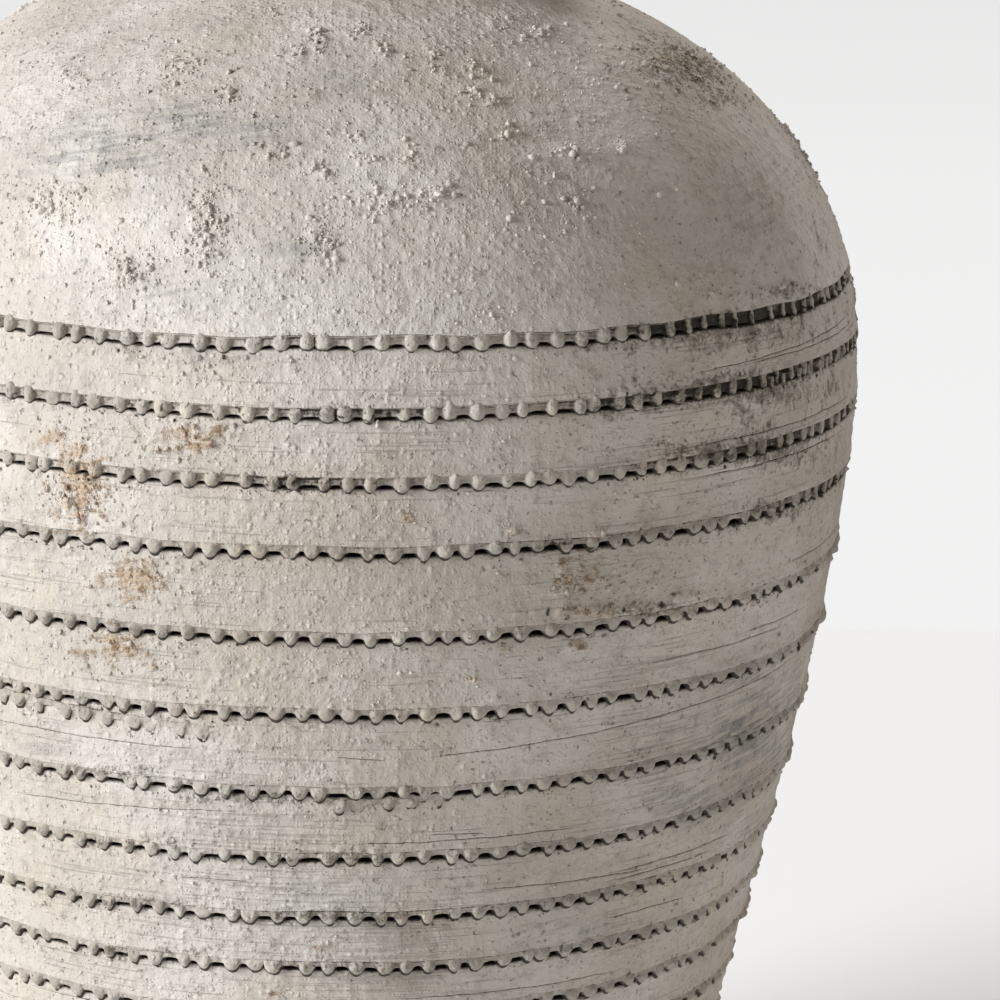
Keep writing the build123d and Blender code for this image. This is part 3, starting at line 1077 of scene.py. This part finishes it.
def crumbs(name, belt, count, divisions, radii, gather, seed):
    """Lumps on a belt of the wall, from the least to the most of radii, gathered where it is crusted."""
    low, high, stains, lime = belt
    least, most = radii
    ball, ball_faces = round_lump(divisions)
    draw = np.random.default_rng(seed)
    tries = count * crust_tries
    angle = draw.uniform(0, 2 * math.pi, tries)
    height = draw.uniform(low, high, tries)
    points = round_jar(outer_radius(height), angle, height)
    marks = stains(points)
    drift = clay_noise(points, 34, 91) + 0.6 * clay_noise(points, 11, 92)
    beside = np.min(np.abs(height[:, None] - np.array(joints)), axis=1)
    chance = 0.012 + 0.1 * np.clip(drift, 0, 1) + gather * marks["crust"] ** 1.5 + 0.9 * marks["rust"]
    by_joint = np.exp(-(((beside - soil_beside) / soil_spread) ** 2))
    chance = chance + 0.2 * by_joint
    kept = np.flatnonzero((draw.random(tries) < chance) & (beside > band_room))[:count]
    points = points[kept]
    angle = angle[kept]
    marks = {mark: depth[kept] for mark, depth in marks.items()}
    relief = hand_relief(points) + grit_relief(points, marks)
    slope = outer_radius(height[kept] + 0.5) - outer_radius(height[kept] - 0.5)
    length = np.sqrt(1 + slope**2)
    normal = np.stack((np.cos(angle) / length, np.sin(angle) / length, -slope / length), axis=-1)
    size = least + (most - least) * draw.beta(1.2, 4.0, len(kept)) * (0.7 + 0.6 * marks["crust"])
    stretch = draw.uniform(0.65, 1.35, (len(kept), 3))
    broken = draw.uniform(0.75, 1.15, (len(kept), len(ball), 1))
    lumps = ball * stretch[:, None] * broken * size[:, None, None]
    middle = points + normal * (relief + 0.12 * size)[:, None]
    corners = middle[:, None] + lumps
    faces = ball_faces[None] + (np.arange(len(kept)) * len(ball))[:, None, None]
    marks["rust"] = np.clip(marks["rust"] * draw.uniform(0.4, 2.6, len(kept)), 0, 1)
    marks = {mark: np.repeat(depth, len(ball)) for mark, depth in marks.items()}
    # The faces of each lump that turn in towards the wall are darkened, as painted shade at its foot
    foot = -(lumps * normal[:, None]).sum(axis=-1) / size[:, None]
    soil = by_joint[kept] * draw.uniform(0, 0.9, len(kept))
    marks["soil_and_shade"] = np.clip(np.clip(foot * 0.6 + 0.05, 0, 0.5) + soil[:, None], 0, 1).ravel()
    place_piece(name, None, lime, corners, faces.reshape(-1, 3), marks)


body_middle = joints[8]
shoulder_belt = (joints[-1] + 3.5, neck_root - 2, shoulder_stains, lit_shoulder_lime)
upper_belt = (body_middle, joints[-1] - 3, body_stains, wall_lime)
lower_belt = (base_thickness, body_middle, body_stains, wall_lime)
crumbs("shoulder_crust", shoulder_belt, 2400, divisions=2, radii=(0.4, 2.0), gather=1.6, seed=81)
crumbs("shoulder_sand", shoulder_belt, 9900, divisions=1, radii=(0.2, 0.75), gather=1.0, seed=82)
crumbs("upper_body_crust", upper_belt, 1300, divisions=2, radii=(0.4, 2.0), gather=1.0, seed=83)
crumbs("upper_body_sand", upper_belt, 8000, divisions=1, radii=(0.16, 0.6), gather=0.8, seed=84)
crumbs("lower_body_crust", lower_belt, 1000, divisions=2, radii=(0.4, 1.8), gather=1.0, seed=85)
crumbs("lower_body_sand", lower_belt, 8000, divisions=1, radii=(0.16, 0.6), gather=0.8, seed=86)

# Floor: a plain pale sheet under the jar, and behind it one that is lit evenly from within. Both
# lie flat, so nothing stands between the jar and an eye behind it.
floor_end = 1.03  # in metres, as is all of the stage
floor_side = 6.0
for name, near, far, grey, glow in (
    ("pale_floor", -floor_side, floor_end, 250, 0.0),
    ("lit_floor", floor_end, 9.0, 90, 0.765),
):
    paper = bpy.data.materials.new(f"{name}_paper")
    paper.use_nodes = True
    shader = paper.node_tree.nodes["Principled BSDF"]
    shader.inputs["Base Color"].default_value = colour(grey, grey, grey)
    shader.inputs["Roughness"].default_value = 0.9
    shader.inputs["Emission Strength"].default_value = glow
    sheet = bpy.data.meshes.new(name)
    near_edge = [(-floor_side, near, 0), (floor_side, near, 0)]
    far_edge = [(floor_side, far, 0), (-floor_side, far, 0)]
    sheet.from_pydata(near_edge + far_edge, [], [(0, 1, 2, 3)])
    sheet.materials.append(paper)
    stage = put_in_scene(name, sheet)

# Light: a wide soft light at the left, a weak one at the right, one for the floor, and dim warm
# air all round.
air = bpy.data.worlds.new("pale_air")
air.use_nodes = True
air.node_tree.nodes["Background"].inputs["Color"].default_value = (1.0, 0.94, 0.865, 1.0)
air.node_tree.nodes["Background"].inputs["Strength"].default_value = 0.18
bpy.context.scene.world = air
bpy.context.scene.view_settings.view_transform = "Standard"


def soft_light(name, place, aim, size, power, tint):
    lamp = bpy.data.lights.new(name, "AREA")
    lamp.size = size
    lamp.energy = power
    lamp.color = tint
    light = put_in_scene(name, lamp)
    backward = np.subtract(place, aim)
    backward = backward / np.linalg.norm(backward)
    across = np.cross((0, 0, 1), backward)
    across = across / np.linalg.norm(across)
    above = np.cross(backward, across)
    axes = np.column_stack((across, above, backward, place))
    light.matrix_world = Matrix((*axes.tolist(), (0, 0, 0, 1)))


cool = (0.94, 0.968, 1.0)
warm = (1.0, 0.955, 0.89)
neutral = (1.0, 0.985, 0.965)
soft_light("key_light", (-2.79, -1.2, 1.5), aim=(0, 0, 0.3), size=1.4, power=133, tint=cool)
soft_light("fill_light", (2.2, -0.6, 2.4), aim=(0.3, 0.2, 0.1), size=2.0, power=6.5, tint=warm)
soft_light("floor_light", (0.6, 2.4, 3.0), aim=(0.5, 0.5, 0.0), size=0.9, power=56, tint=neutral)

# Camera: stands in front of the jar and above it, looking a little down and to the right of it. The
# stains of the wall were placed through the same frame.
lens = bpy.data.cameras.new("camera")
lens.sensor_fit = "HORIZONTAL"
lens.sensor_width = 36.0
lens.lens = lens.sensor_width * focal_pixels / (2 * picture_middle)
lens.clip_start = 0.05
lens.clip_end = 50.0
camera = put_in_scene("camera", lens)
axes = np.column_stack((sight_right, sight_up, -sight, eye * mm))
camera.matrix_world = Matrix((*axes.tolist(), (0, 0, 0, 1)))
bpy.context.scene.camera = camera
